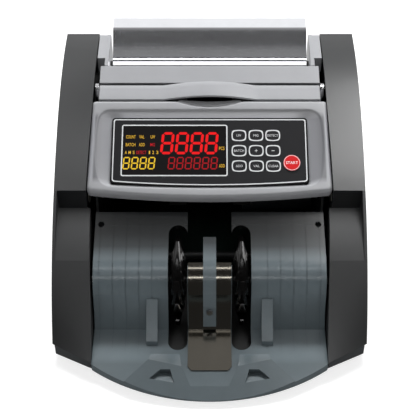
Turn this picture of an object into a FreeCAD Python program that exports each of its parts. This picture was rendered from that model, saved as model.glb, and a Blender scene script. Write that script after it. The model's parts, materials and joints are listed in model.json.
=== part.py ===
import FreeCAD, Part
import math
import os

from FreeCAD import Placement, Rotation, Vector

# Banknote counting machine. +X is the operator's right, -Y is the operator's side, +Z is up.
# The origin is on the table, under the middle of the whole machine.

SIZES = {
    "half_width": 131.0,        # half the width over the side covers
    "wall": 2.5,                # moulded plastic wall
    "foot_height": 4.0,
    "foot_radius": 8.0,
    "base_top": 14.0,           # top of the base tray's rim
    "rear_face": 142.0,         # back of the covers
    "step_face": -13.15,        # where the side covers step down to their front fenders
    "fender_back": 89.0,        # fender height just in front of that step
    "nose_radius": 160.0,       # plan radius of the bowed front
    "nose_front": -152.75,      # foremost point of the bowed front
    "panel_slope": 30.24,       # control panel angle to the table, degrees
    "panel_low": 107.9,         # height of the panel's front edge
    "panel_length": 83.8,       # panel length up its slope
    "panel_depth": 12.0,        # skirt depth of the panel housing
    "recess_depth": 1.2,
    "overlay_thickness": 0.9,
    "key_width": 12.7,
    "key_length": 10.5,
    "key_gap": 0.3,
    "start_radius": 7.1,
    "frame_inner": 95.5,        # inner faces of the frame plates
    "plate_thickness": 2.0,
    "shaft_radius": 3.0,
    "shaft_half": 114.0,
    "bearing_radius": 6.5,
    "running_gap": 0.05,
    "belt_thickness": 1.6,
    "belt_width": 5.0,
    "belt_gap": 0.3,
    "pulley_width": 6.0,
    "stacker_y": -57.25,
    "stacker_z": 46.0,
    "wheel_radius": 38.0,
    "wheel_width": 13.6,
    "wheel_centre": 26.55,
    "delivery_y": 14.0,
    "delivery_z": 84.0,
    "delivery_radius": 11.0,
    "idler_y": 14.0,
    "idler_z": 101.8,
    "idler_radius": 6.5,
    "feed_y": 80.0,
    "feed_z": 118.0,
    "feed_radius": 18.0,
    "pickup_y": 107.5,
    "pickup_z": 135.8,
    "pickup_radius": 10.0,
    "motor_y": 52.0,
    "motor_z": 60.0,
    "motor_radius": 21.0,
    "roller_centre": 28.0,
    "roller_width": 15.0,
    "tray_half": 97.0,
    "floor_slope": 6.0,         # stacker floor falls to the front, degrees
    "groove_width": 0.9,
    "fin_centre": 48.0,
    "fin_width": 9.4,
    "slot_inner": 18.5,
    "slot_outer": 34.6,
    "steel_half": 18.0,
    "strip_half": 5.4,
    "flap_half": 96.9,
    "hinge_y": 77.6,
    "hinge_z": 151.4,
    "hinge_radius": 1.5,
    "barrel_radius": 3.0,
    "hopper_plate_half": 88.6,
    "sheet_steel": 1.2,
}

DOC = FreeCAD.newDocument("banknote_counter")
SHEET = DOC.addObject("Spreadsheet::Sheet", "Sizes")
for row, (alias, value) in enumerate(SIZES.items(), start=1):
    SHEET.set(f"A{row}", alias)
    SHEET.set(f"B{row}", str(value))
    SHEET.setAlias(f"B{row}", alias)
DOC.recompute()

TALL = "200"      # over the top of everything, for cutters
UNDER = "-1"      # below the table, for cutters

NODES = {}
AXIS_X = Rotation(Vector(0, 1, 0), 90)
AXIS_Y = Rotation(Vector(1, 0, 0), -90)
SIDE_VIEW = Rotation(Vector(1, 1, 1), 120)


def size(alias):
    return float(SHEET.get(alias))


def cell(alias):
    return f"Sizes.{alias}"


def node(name, obj):
    """Keep an object as one sub-part; its Label names its file."""
    obj.Label = name
    NODES[name] = obj
    return obj


# Outlines and primitives -------------------------------------------------------------------

def flat(point):
    return Vector(point[0], point[1], 0)


def path(start, *steps, close=True):
    """Edges from start. A step is a point, an arc (through, end) or a list of points on a curve."""
    edges = []
    here = start
    for step in steps:
        if isinstance(step, list):
            curve = Part.BSplineCurve()
            curve.interpolate([flat(point) for point in [here] + step])
            edges.append(curve)
            here = step[-1]
        elif isinstance(step[0], tuple):
            edges.append(Part.Arc(flat(here), flat(step[0]), flat(step[1])))
            here = step[1]
        else:
            edges.append(Part.LineSegment(flat(here), flat(step)))
            here = step
    if close and flat(here).distanceToPoint(flat(start)) > 1e-6:
        edges.append(Part.LineSegment(flat(here), flat(start)))
    return edges


def circle(centre, radius):
    return Part.Circle(flat(centre), Vector(0, 0, 1), radius)


def rounded_box(left, low, right, high, radius):
    """Outline of a rectangle with round corners."""
    k = radius * (1 - math.sqrt(0.5))
    return path(
        (left + radius, low),
        (right - radius, low),
        ((right - k, low + k), (right, low + radius)),
        (right, high - radius),
        ((right - k, high - k), (right - radius, high)),
        (left + radius, high),
        ((left + k, high - k), (left, high - radius)),
        (left, low + radius),
        ((left + k, low + k), (left + radius, low)),
    )


def pad(name, plane, edges, length, low=0.0):
    """A body padded by a sheet expression from its own origin plane, starting low along the normal."""
    body = DOC.addObject("PartDesign::Body", name)
    sketch = body.newObject("Sketcher::SketchObject", name + "_outline")
    base = next(f for f in body.Origin.OriginFeatures if f.Role == plane + "_Plane")
    sketch.AttachmentSupport = [(base, "")]
    sketch.MapMode = "FlatFace"
    sketch.AttachmentOffset = Placement(Vector(0, 0, low), Rotation())
    for edge in edges:
        sketch.addGeometry(edge, False)
    feature = body.newObject("PartDesign::Pad", name + "_pad")
    feature.Profile = sketch
    feature.setExpression("Length", length)
    body.Tip = feature
    return body


def side_pad(name, edges, low, high):
    """An outline in (Y, Z), padded along X from low to high; both are sheet expressions."""
    body = pad(name, "YZ", edges, f"({high}) - ({low})")
    body.setExpression("Placement.Base.x", low)
    return body


def plan_pad(name, edges, low, high):
    """An outline in (X, Y), padded up from low to high; both are sheet expressions."""
    body = pad(name, "XY", edges, f"({high}) - ({low})")
    body.setExpression("Placement.Base.z", low)
    return body


def panel_pad(name, edges, low, high):
    """An outline in the control panel's plane, from low to high along its outward normal."""
    body = pad(name, "XY", edges, f"({high}) - ({low})", low)
    turn = Rotation(Vector(1, 0, 0), size("panel_slope"))
    body.Placement = Placement(Vector(0, size("step_face"), size("panel_low")), turn)
    body.setExpression("Placement.Base.y", cell("step_face"))
    body.setExpression("Placement.Base.z", cell("panel_low"))
    return body


def rod(name, radius, low, high, y, z):
    """A cylinder along X; every size is a sheet expression."""
    obj = DOC.addObject("Part::Cylinder", name)
    obj.Placement = Placement(Vector(), AXIS_X)
    obj.setExpression("Radius", radius)
    obj.setExpression("Height", f"({high}) - ({low})")
    obj.setExpression("Placement.Base.x", low)
    obj.setExpression("Placement.Base.y", y)
    obj.setExpression("Placement.Base.z", z)
    return obj


def box(name, low, high):
    """A box between two corners, each three sheet expressions."""
    obj = DOC.addObject("Part::Box", name)
    for side, axis, a, b in zip(("Length", "Width", "Height"), "xyz", low, high):
        obj.setExpression(side, f"({b}) - ({a})")
        obj.setExpression(f"Placement.Base.{axis}", f"{a}")
    return obj


def cylinder(name, radius, height, base, turn=Rotation()):
    obj = DOC.addObject("Part::Cylinder", name)
    obj.Placement = Placement(Vector(*base), turn)
    obj.setExpression("Radius", radius)
    obj.setExpression("Height", height)
    return obj


def join(name, shapes):
    obj = DOC.addObject("Part::MultiFuse", name)
    obj.Shapes = shapes
    return obj


def group(name, shapes):
    obj = DOC.addObject("Part::Compound", name)
    obj.Links = shapes
    return obj


def cut(name, base, tools):
    obj = DOC.addObject("Part::Cut", name)
    obj.Base = base
    obj.Tool = tools[0] if len(tools) == 1 else join(name + "_tools", tools)
    return obj


def common(name, first, second):
    obj = DOC.addObject("Part::MultiCommon", name)
    obj.Shapes = [first, second]
    return obj


def ring(name, radius, low, high, y, z, bore):
    """A tube along X."""
    outer = rod(name + "_rim", radius, low, high, y, z)
    hole = rod(name + "_bore", bore, f"({low}) - 1", f"({high}) + 1", y, z)
    return cut(name, outer, [hole])


def mirrored_pair(make):
    """make(side_name, sign) once for the left and once for the right."""
    return [make("left", -1), make("right", 1)]


def span(sign, inner, outer):
    """The X range of a piece between two distances from the middle, on one side."""
    if sign > 0:
        return f"{inner}", f"{outer}"
    return f"-({outer})", f"-({inner})"


# Outer shape of the side covers ---------------------------------------------------------------

BROW = [(77.9, 157.2), (28.5, 134.3), (-19.8, 103.0), (-60.0, 67.4)]
OUTER_NOSE = [(-85.0, 37.5), (-100.25, 14.0)]
INNER_NOSE = [(-86.0, 41.5), (-123.0, 14.0)]
CROWN = (137.0, 170.2)


def cover_section(name, x, nose):
    """The cover's side outline, closed, on the plane at x."""
    base = size("base_top")
    rear = size("rear_face")
    sketch = DOC.addObject("Sketcher::SketchObject", name)
    sketch.Placement = Placement(Vector(x, 0, 0), SIDE_VIEW)
    outline = path((rear, base), (rear, 166.5), ((rear - 1.3, 169.6), CROWN), BROW + nose)
    for edge in outline:
        sketch.addGeometry(edge, False)
    return sketch


def cover_solid(name):
    loft = DOC.addObject("Part::Loft", name)
    outer = cover_section(name + "_outer", size("half_width"), OUTER_NOSE)
    inner = cover_section(name + "_inner", size("frame_inner") - 1, INNER_NOSE)
    loft.Sections = [inner, outer]
    loft.Solid = True
    loft.Ruled = True
    return loft


def fender_cutter(name, back, drop):
    """Takes the cover down from its brow line to the fender, inside the outer rim."""
    step = size("step_face") + back
    top = size("fender_back") - drop
    curve = [(-28.0, 86.6 - drop), (-44.0 - back / 2, 79.2 - drop), (-58.0 - back, 69.2 - drop)]
    shape = path((step, 190.0), (step, top), curve, (-90.0, 190.0))
    return side_pad(name, shape, "80", f"{cell('half_width')} - {cell('wall')}")


def right_cover():
    step = size("step_face")
    outside = cut("cover_outside", cover_solid("cover_loft"), [fender_cutter("fender_step", 0, 0)])
    seam = path(
        (80, -160),
        (96.9, -160),
        (96.9, -121),
        (101.7, step),
        (104.2, step),
        (101.8, 59),
        (101.3, 150),
        (80, 150),
    )
    seam_cut = plan_pad("cover_seam", seam, UNDER, TALL)
    lining = cover_solid("cover_lining")
    lining.Placement = Placement(Vector(0, size("wall") - 0.6, -size("wall")), Rotation())
    wall = size("wall")
    outer = size("half_width") - wall
    rear = size("rear_face") - wall
    room = path(
        (90, step + wall),
        (104.7, step + wall),
        (104.7, -150),
        (outer, -150),
        (outer, rear),
        (90, rear),
    )
    hollow = common("cover_hollow", lining, plan_pad("cover_room", room, UNDER, TALL))
    hollow = cut("cover_inside", hollow, [fender_cutter("fender_lining", wall, wall)])
    shaft_room = box("cover_shaft_room", ("90", "-65", "0"), ("110", "-5", "53.2"))
    return cut("right_side_cover", outside, [seam_cut, hollow, shaft_room])


def left_cover(right):
    mirror = DOC.addObject("Part::Mirroring", "left_side_cover")
    mirror.Source = right
    mirror.Normal = Vector(1, 0, 0)
    return mirror


# Enclosure ------------------------------------------------------------------------------------

def nose_arc(radius, half, centre):
    """Ends and middle of the bowed front, between -half and half."""
    end = centre - math.sqrt(radius**2 - half**2)
    return (-half, end), (0, centre - radius), (half, end)


KNOB_X = -60.0
KNOB_Z = 108.0


def base_outline(inset):
    """Plan of the base: square behind, slanted beside the fenders, bowed under the stacker's front."""
    bow = size("nose_radius") - 12.0 - inset
    centre = size("nose_front") + size("nose_radius")
    side = size("half_width") - 2.0 - inset
    rear = size("rear_face") - inset
    cheek = size("tray_half") + 0.2
    left, middle, right = nose_arc(bow, 93.0, centre)
    return path(
        (side, rear),
        (-side, rear),
        (-side, -102.0 + inset),
        (-cheek, -118.5 + inset),
        (-cheek, -107.5 + inset),
        left,
        (middle, right),
        (cheek, -107.5 + inset),
        (cheek, -118.5 + inset),
        (side, -102.0 + inset),
    )


def base_tray():
    outside = plan_pad("base_outside", base_outline(0), cell("foot_height"), cell("base_top"))
    floor = f"{cell('foot_height')} + {cell('wall')}"
    inside = plan_pad("base_inside", base_outline(size("wall")), floor, "30")
    front_room = box("base_front_room", ("-98.2", "-160", "6.5"), ("98.2", "-84", "30"))
    return node("base_tray", cut("base_tray", outside, [inside, front_room]))


def rubber_feet():
    feet = []
    for x in (-108.0, 108.0):
        for y in (-88.0, 126.0):
            feet.append(cylinder("foot", cell("foot_radius"), cell("foot_height"), (x, y, 0)))
    return node("rubber_feet", group("rubber_feet", feet))


def rear_cover():
    rear = size("rear_face")
    wall = size("wall")
    low = size("base_top") + 0.1
    shell = path(
        (rear, low),
        (rear, 130.0),
        ((rear - 0.9, 132.2), (rear - 3, 133.0)),
        (122.5, 133.0),
        (122.5, 133.0 - wall),
        (rear - wall, 133.0 - wall),
        (rear - wall, low),
    )
    cover = side_pad("rear_shell", shell, "-101", "101")
    inlet_hole = box("inlet_hole", ("40", "130", "22"), ("92", "150", "50"))
    knob_hole = cylinder("knob_hole", "4.1", "20", (KNOB_X, 130, KNOB_Z), AXIS_Y)
    vents = [box("vent", (f"{x}", "130", "70"), (f"{x + 3}", "150", "95")) for x in range(-33, 34, 9)]
    return node("rear_cover", cut("rear_cover", cover, [inlet_hole, knob_hole] + vents))


# Control panel ----------------------------------------------------------------------------------

KEY_COLUMNS = (25.1, 39.7, 54.1)
KEY_ROWS = (50.6, 36.4, 22.3)
KEY_NAMES = (
    ("key_uv", "key_magnetic", "key_detect"),
    ("key_batch", "key_plus", "key_minus"),
    ("key_add", "key_value", "key_clear"),
)
START_CENTRE = (69.8, 25.1)
WINDOW = (-75.2, 13.3, 15.1, 60.6)


def key_outline(x, s, grow=0.0):
    """A key's outline: a rectangle whose four sides bulge a little."""
    half_w = size("key_width") / 2 + grow
    half_l = size("key_length") / 2 + grow
    edge = 0.7
    return path(
        (x - half_w + edge, s - half_l + edge),
        ((x, s - half_l), (x + half_w - edge, s - half_l + edge)),
        ((x + half_w, s), (x + half_w - edge, s + half_l - edge)),
        ((x, s + half_l), (x - half_w + edge, s + half_l - edge)),
        ((x - half_w, s), (x - half_w + edge, s - half_l + edge)),
    )


def housing_outline(inset):
    """Panel plan: bowed front edge, and a finger scoop in the middle of the rear edge."""
    top = size("panel_length") - inset
    return path(
        (-103.8 + inset, inset),
        ((0, -6.0 + inset), (103.8 - inset, inset)),
        (101.8 - inset, top),
        (28, top),
        ((0, top - 5.0), (-28, top)),
        (-101.8 + inset, top),
    )


def label_outline(grow):
    side = 84.0 + grow
    return path(
        (-side, 7.0 - grow + 3),
        ((-side + 0.9, 7.0 - grow + 0.9), (-side + 3, 7.0 - grow)),
        ((0, 3.6 - grow), (side - 3, 7.0 - grow)),
        ((side - 0.9, 7.0 - grow + 0.9), (side, 7.0 - grow + 3)),
        (side, 67.3 + grow - 3),
        ((side - 0.9, 67.3 + grow - 0.9), (side - 3, 67.3 + grow)),
        (-side + 3, 67.3 + grow),
        ((-side + 0.9, 67.3 + grow - 0.9), (-side, 67.3 + grow - 3)),
    )


def panel_holes(name, grow, low, high):
    """Cutters for the key, start button and window openings."""
    tools = []
    for row, s in enumerate(KEY_ROWS):
        for column, x in enumerate(KEY_COLUMNS):
            outline = key_outline(x, s, size("key_gap") + grow)
            tools.append(panel_pad(f"{name}_key_{row}{column}", outline, low, high))
    start = circle(START_CENTRE, size("start_radius") + size("key_gap") + grow)
    tools.append(panel_pad(f"{name}_start", [start], low, high))
    return tools


def control_panel_housing():
    block = panel_pad("housing_block", housing_outline(0), -size("panel_depth"), 0.0)
    inside = panel_pad("housing_inside", housing_outline(size("wall")), -30.0, -size("wall"))
    dish = path(
        (-91.5, 5.5),
        ((0, 2.6), (91.5, 5.5)),
        ((96.8, 38.0), (94.0, 74.2)),
        (-94.0, 74.2),
        ((-96.8, 38.0), (-91.5, 5.5)),
    )
    recess = panel_pad("housing_recess", dish, -size("recess_depth"), 5.0)
    left, low, right, high = WINDOW
    inner = rounded_box(left + 1, low + 1, right - 1, high - 1, 1)
    opening = panel_pad("housing_opening", inner, -8.0, 5.0)
    tools = [inside, recess, opening] + panel_holes("housing", 0.2, -8.0, 5.0)
    return node("control_panel_housing", cut("control_panel_housing", block, tools))


def panel_overlay():
    low = -size("recess_depth")
    high = low + size("overlay_thickness")
    sheet = panel_pad("overlay_sheet", label_outline(0), low, high)
    window = panel_pad("overlay_window", rounded_box(*WINDOW, 2.0), -5.0, 5.0)
    holes = panel_holes("overlay", 0.0, -5.0, 5.0)
    return node("panel_overlay", cut("panel_overlay", sheet, [window] + holes))


def display_window():
    low = -size("recess_depth")
    high = low + size("overlay_thickness")
    return node("display_window", panel_pad("display_window", rounded_box(*WINDOW, 2.0), low, high))


def display_board():
    board = panel_pad("board_sheet", rounded_box(-82, 8, 82, 66, 1), -9.6, -8.0)
    digits = panel_pad("digit_block", rounded_box(-73, 15.5, 13, 58.5, 0.5), -8.0, -1.4)
    return node("display_board", group("display_board", [board, digits]))


def keys():
    for row, s in enumerate(KEY_ROWS):
        for column, x in enumerate(KEY_COLUMNS):
            name = KEY_NAMES[row][column]
            node(name, panel_pad(name, key_outline(x, s), -5.0, -0.05))
    start = panel_pad("start_button", [circle(START_CENTRE, size("start_radius"))], -5.0, 0.6)
    node("start_button", start)


# Stacker ------------------------------------------------------------------------------------------

CREASE = (-85.15, 15.3)
FLOOR_FALL = math.tan(math.radians(size("floor_slope")))
FLOOR_END = (-160.0, CREASE[1] - FLOOR_FALL * (CREASE[0] + 160.0))
TRAY_TOP = (-14.0, 85.0)
TRAY_SLOPE_END = (-53.0, 69.7)
TRAY_RIDGE = (-67.95, 59.1)
TRAY_FACE = (-74.65, 45.9)
TRAY_HOLLOW = (-78.4, 28.5)


def on_floor(y):
    """The point of the stacker floor at this Y."""
    return (y, CREASE[1] - FLOOR_FALL * (CREASE[0] - y))


def moved(point, shift):
    """Outward from the tray's surface, along the 45 degree diagonal."""
    return (point[0] - shift, point[1] + shift)


def tray_layer(name, start, end, above, below, low, high):
    """A layer along the tray's surface from start to end, between two heights over it."""
    top = [
        moved(TRAY_SLOPE_END, above),
        (moved(TRAY_RIDGE, above), moved(TRAY_FACE, above)),
        (moved(TRAY_HOLLOW, above), moved(CREASE, above)),
        moved(end, above),
    ]
    back = [
        moved(end, below),
        moved(CREASE, below),
        (moved(TRAY_HOLLOW, below), moved(TRAY_FACE, below)),
        (moved(TRAY_RIDGE, below), moved(TRAY_SLOPE_END, below)),
        moved(start, below),
    ]
    return side_pad(name, path(moved(start, above), *top, *back), low, high)


def nose_cylinder(name, radius):
    """Everything behind the bowed front."""
    centre = size("nose_front") + size("nose_radius")
    return cylinder(name, f"{radius}", TALL, (0, centre, -50))


def bump(side, sign):
    """One raised pad of the front lip: it widens towards the front, and its top rises outwards."""
    plan = path(
        (sign * 24.7, -112.5),
        (sign * 48.5, -114.3),
        (sign * 50.1, -119.8),
        (sign * 84.0, -151.3),
        (sign * 84.0, -160.0),
        (sign * 11.2, -160.0),
        (sign * 11.4, -150.0),
        (sign * 22.9, -125.4),
    )
    raised = plan_pad(f"{side}_bump_block", plan, "6.6", "30")
    above = path((sign * 5.0, 13.9), (sign * 95.0, 20.9), (sign * 95.0, 60.0), (sign * 5.0, 60.0))
    return cut(f"{side}_bump", raised, [pad(f"{side}_bump_top", "XZ", above, "170")])


def stacker_tray():
    half = cell("tray_half")
    sheet = tray_layer("tray_sheet", TRAY_TOP, FLOOR_END, 0, -2.6, f"-{half}", half)
    front = nose_cylinder("tray_front", size("nose_radius"))
    bumps = join("lip_bumps", mirrored_pair(bump))
    under = size("foot_height")
    side = path((-160, under), (-100, under), on_floor(-100), FLOOR_END)
    block = side_pad("skirt_block", side, f"-{half}", half)
    skirt = cut("tray_skirt", block, [nose_cylinder("skirt_inside", size("nose_radius") - 3.0)])
    solid = common("tray_bowed", join("tray_joined", [sheet, bumps, skirt]), front)
    above_lip = path((-170, -1.3), (-108, 21.8), (-108, 60), (-170, 60))
    tools = [side_pad("lip_plane", above_lip, "-120", "120")]
    slot_radius = f"({cell('slot_outer')} - {cell('slot_inner')}) / 2"
    for sign in (-1, 1):
        a, b = span(sign, cell("slot_inner"), cell("slot_outer"))
        tools.append(box("slot_body", (a, "-98", "-5"), (b, "-34", "110")))
        middle = sign * (size("slot_inner") + size("slot_outer")) / 2
        for y in (-98.0, -34.0):
            tools.append(cylinder("slot_end", slot_radius, "115", (middle, y, -5)))
        for x in (48.0, 58.9, 69.8, 80.7, 92.0):
            low = f"{sign * x} - {cell('groove_width')} / 2"
            high = f"{sign * x} + {cell('groove_width')} / 2"
            end = on_floor(-100.0 - 0.3 * (92.0 - x))
            tools.append(tray_layer("groove", TRAY_TOP, end, 1.0, -0.6, low, high))
        corners = ((40.2, -127.9), (32.1, -127.9), (28.5, -138.7), (48.8, -135.1))
        pocket = path(*((sign * x, y) for x, y in corners))
        tools.append(plan_pad("lip_pocket", pocket, "9.8", "40"))
        tools.append(cylinder("screw_hole", "2.6", "40", (sign * 92.0, -25.0, 50)))
    half_opening = f"{cell('slot_inner')} + 0.1"
    tools.append(box("centre_opening", (f"-({half_opening})", "-60", "50"), (half_opening, "0", "110")))
    fin = path(
        (-73.4, 43.0),
        (-76.4, 42.4),
        (-100.4, 17.2),
        (-101.6, 14.6),
        (-101.6, 12.0),
        (-84.0, 13.0),
        (-77.2, 28.0),
    )
    fins = []
    for sign in (-1, 1):
        low = f"{sign} * {cell('fin_centre')} - {cell('fin_width')} / 2"
        high = f"{sign} * {cell('fin_centre')} + {cell('fin_width')} / 2"
        fins.append(side_pad("stop_fin", fin, low, high))
    carved = cut("tray_carved", solid, tools)
    return node("stacker_tray", join("stacker_tray", [carved] + fins))


def stacker_steel_plate():
    half = cell("steel_half")
    sheet = tray_layer("steel_sheet", TRAY_TOP, on_floor(-126.0), 0.8, 0.0, f"-{half}", half)
    above = box("steel_end", (f"-{half} - 1", "-59", "0"), (f"{half} + 1", "0", "110"))
    edge = size("steel_half")
    tools = [above]
    for sign in (-1, 1):
        corner = path(
            (sign * (edge - 3.9), -128.0),
            (sign * (edge + 2.0), -128.0),
            (sign * (edge + 2.0), -120.0),
        )
        tools.append(plan_pad("steel_corner", corner, "0", "30"))
    return node("stacker_steel_plate", cut("stacker_steel_plate", sheet, tools))


def centre_guide_strip():
    half = cell("strip_half")
    strip = tray_layer("guide_body", TRAY_TOP, on_floor(-100.0), 3.0, 0.8, f"-{half}", half)
    above = box("guide_top_end", (f"-{half} - 1", "-39.5", "0"), (f"{half} + 1", "0", "110"))
    below = box("guide_foot_end", (f"-{half} - 1", "-110", "0"), (f"{half} + 1", "-50", "20.5"))
    hole = cylinder("guide_screw_hole", "1.5", "10", (0, -84.0, 33.0), AXIS_Y)
    return node("centre_guide_strip", cut("centre_guide_strip", strip, [above, below, hole]))


def tray_screws():
    head = cylinder("guide_screw_head", "2.6", "1.6", (0, -83.4, 33.0), AXIS_Y)
    strip = NODES["centre_guide_strip"]
    screws = [cut("guide_screw", head, [strip])]
    for sign in (-1, 1):
        screws.append(cylinder("side_screw", "2.5", "6", (sign * 92.0, -25.0, 71.0)))
    return node("tray_screws", group("tray_screws", screws))


def finger_wheel(side, sign):
    """A hub with curved fingers that trail as the wheel turns."""
    hub_radius = 13.0
    tip = size("wheel_radius")
    fingers = 12
    name = f"{side}_stacker_wheel"

    def polar(radius, degrees):
        angle = math.radians(degrees)
        return (radius * math.cos(angle), radius * math.sin(angle))

    hub = [circle((0, 0), hub_radius), circle((0, 0), size("shaft_radius"))]
    body = pad(name, "YZ", hub, cell("wheel_width"))
    sketch = body.newObject("Sketcher::SketchObject", name + "_finger")
    base = next(f for f in body.Origin.OriginFeatures if f.Role == "YZ_Plane")
    sketch.AttachmentSupport = [(base, "")]
    sketch.MapMode = "FlatFace"
    outline = path(
        polar(hub_radius - 1, 0),
        (polar(27.0, -24.0), polar(tip, -72.0)),
        polar(tip - 1.1, -73.0),
        (polar(25.4, -32.0), polar(hub_radius - 1, -13.0)),
    )
    for edge in outline:
        sketch.addGeometry(edge, False)
    finger = body.newObject("PartDesign::Pad", name + "_finger_pad")
    finger.Profile = sketch
    finger.setExpression("Length", cell("wheel_width"))
    DOC.recompute()
    turn = body.newObject("PartDesign::PolarPattern", name + "_fingers")
    turn.Originals = [finger]
    turn.Axis = (next(f for f in body.Origin.OriginFeatures if f.Role == "X_Axis"), [""])
    turn.Angle = 360
    turn.Occurrences = fingers
    body.Tip = turn
    body.setExpression("Placement.Base.x", f"{sign} * {cell('wheel_centre')} - {cell('wheel_width')} / 2")
    body.setExpression("Placement.Base.y", cell("stacker_y"))
    body.setExpression("Placement.Base.z", cell("stacker_z"))
    return node(name, body)


# Hopper ---------------------------------------------------------------------------------------------

def hopper_front_cover():
    shape = path(
        (79.2, 155.6),
        (95.6, 162.1),
        ((97.0, 161.6), (97.2, 160.2)),
        (95.0, 141.5),
        (92.4, 141.5),
        (94.2, 158.9),
        (80.1, 153.3),
    )
    half = cell("tray_half")
    return node("hopper_front_cover", side_pad("hopper_front_cover", shape, f"-{half}", half))


def hopper_flap():
    """Hinged at its rear edge; the middle is arched up so that a finger gets under its front edge."""
    length = 17.0
    slope = 17.0
    half = size("flap_half")
    grip = 40.0
    arch = path(
        (-half, 0), (-grip, 0), ((0, 5.5), (grip, 0)), (half, 0),
        (half, -2.5), (grip, -2.5), ((0, 3.2), (-grip, -2.5)), (-half, -2.5),
    )
    body = DOC.addObject("PartDesign::Body", "flap_plate")
    sketch = body.newObject("Sketcher::SketchObject", "flap_section")
    base = next(f for f in body.Origin.OriginFeatures if f.Role == "XZ_Plane")
    sketch.AttachmentSupport = [(base, "")]
    sketch.MapMode = "FlatFace"
    for edge in arch:
        sketch.addGeometry(edge, False)
    feature = body.newObject("PartDesign::Pad", "flap_pad")
    feature.Profile = sketch
    feature.setExpression("Length", f"{length}")
    rear = (size("hinge_y") - 0.3, size("hinge_z") + size("barrel_radius") + 0.1)
    body.Placement = Placement(Vector(0, *rear), Rotation(Vector(1, 0, 0), slope))
    hinge = (cell("hinge_y"), cell("hinge_z"))
    barrels = []
    for sign in (-1, 1):
        low, high = span(sign, "86.5", cell("flap_half"))
        barrels.append(rod("flap_barrel", cell("barrel_radius"), low, high, *hinge))
    bore = f"{cell('hinge_radius')} + {cell('running_gap')}"
    hinge_bore = rod("flap_bore", bore, "-110", "110", *hinge)
    return node("hopper_flap", cut("hopper_flap", join("flap_joined", [body] + barrels), [hinge_bore]))


def flap_hinge_pins():
    pins = []
    for sign in (-1, 1):
        low, high = span(sign, "87.5", "97.5")
        pin = rod("flap_pin", cell("hinge_radius"), low, high, cell("hinge_y"), cell("hinge_z"))
        inner, outer = span(sign, "97.5", "100.6")
        arm = path((73.0, 134.5), (82.2, 134.5), (81.6, 151.4), ((77.6, 155.4), (73.6, 151.4)))
        boss = side_pad("flap_boss", arm, inner, outer)
        pins.append(join("hinge_pin", [pin, boss]))
    return node("flap_hinge_pins", group("flap_hinge_pins", pins))


def hopper_back_plate():
    """Polished sheet: a rising flange, a round bend, a straight slope and a curved foot."""
    slope = math.radians(50.0)
    along = (-math.cos(slope), -math.sin(slope))
    thick = size("sheet_steel")
    bend = (138.7, 176.0)

    def on_slope(distance, offset):
        return (
            bend[0] + along[0] * distance + math.sin(slope) * offset,
            bend[1] + along[1] * distance - math.cos(slope) * offset,
        )

    start = on_slope(2.0, 0)
    low = on_slope(26.0, 0)
    rim = (152.75, 179.3)
    shape = path(
        rim,
        (bend[0] + 2.4, 176.0),
        ((bend[0] + 0.3, 175.2), start),
        low,
        ((low[0] - 5.6, low[1] - 5.2), (low[0] - 12.5, low[1] - 8.6)),
        (low[0] - 12.5, low[1] - 8.6 - thick),
        ((low[0] - 4.9, low[1] - 6.2), on_slope(26.0, thick)),
        on_slope(2.6, thick),
        ((bend[0] + 1.0, 174.2), (bend[0] + 2.8, 176.0 - thick)),
        (rim[0], rim[1] - thick),
    )
    half = cell("hopper_plate_half")
    return node("hopper_back_plate", side_pad("hopper_back_plate", shape, f"-{half}", half))


def hopper_wall(side, sign):
    fin = path(
        (98.0, 143.0),
        (98.0, 161.8),
        [(116.0, 166.6), (136.5, 170.3)],
        ((140.2, 169.0), (141.6, 165.5)),
        (141.6, 133.2),
        (121.0, 133.2),
        (121.0, 143.0),
    )
    ledge = path(
        (106.5, 150.2),
        (106.5, 164.4),
        [(122.0, 167.2), (136.5, 169.9)],
        ((140.0, 168.7), (141.4, 165.5)),
        (141.4, 150.2),
    )
    low, high = span(sign, "90.7", "93.9")
    outer_low, outer_high = span(sign, "93.9", "100.7")
    pieces = [side_pad("hopper_fin", fin, low, high), side_pad("hopper_ledge", ledge, outer_low, outer_high)]
    return node(f"{side}_hopper_wall", join(f"{side}_hopper_wall", pieces))


def hopper_floor():
    shape = path(
        (90.0, 138.9),
        (109.2, 146.0),
        (113.0, 146.0),
        (122.0, 152.0),
        (122.0, 130.5),
        (119.5, 130.5),
        (119.5, 146.5),
        (113.0, 143.2),
        (110.0, 143.2),
        (90.8, 136.3),
    )
    plate = side_pad("floor_plate", shape, "-90.5", "90.5")
    slots = []
    for sign in (-1, 1):
        x = sign * size("roller_centre")
        half = size("roller_width") / 2 + 1.0
        left = f"{x - half}"
        right = f"{x + half}"
        slots.append(box("pickup_slot", (left, "94", "120"), (right, "119", "143.7")))
        slots.append(box("pickup_mouth", (left, "96", "120"), (right, "115", "160")))
    return node("hopper_floor", cut("hopper_floor", plate, slots))


# Frame and drive --------------------------------------------------------------------------------------

AXES = ("stacker", "delivery", "feed", "pickup")
ROD_PLACES = ((-4.0, 26.0), (98.0, 62.0), (108.0, 104.0))
PLATE_OUTLINE = (
    (-69.0, 6.5),
    (-69.0, 38.0),
    (-61.0, 53.5),
    (-50.0, 61.5),
    (-12.0, 73.0),
    (-8.0, 82.0),
    (-5.0, 95.5),
    (62.0, 134.5),
    (70.0, 137.0),
    (71.0, 147.0),
    (84.0, 147.0),
    (86.0, 138.0),
    (98.0, 138.0),
    (102.0, 145.5),
    (113.0, 145.5),
    (118.4, 139.0),
    (118.4, 120.0),
    (132.0, 110.0),
    (132.0, 6.5),
)


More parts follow.
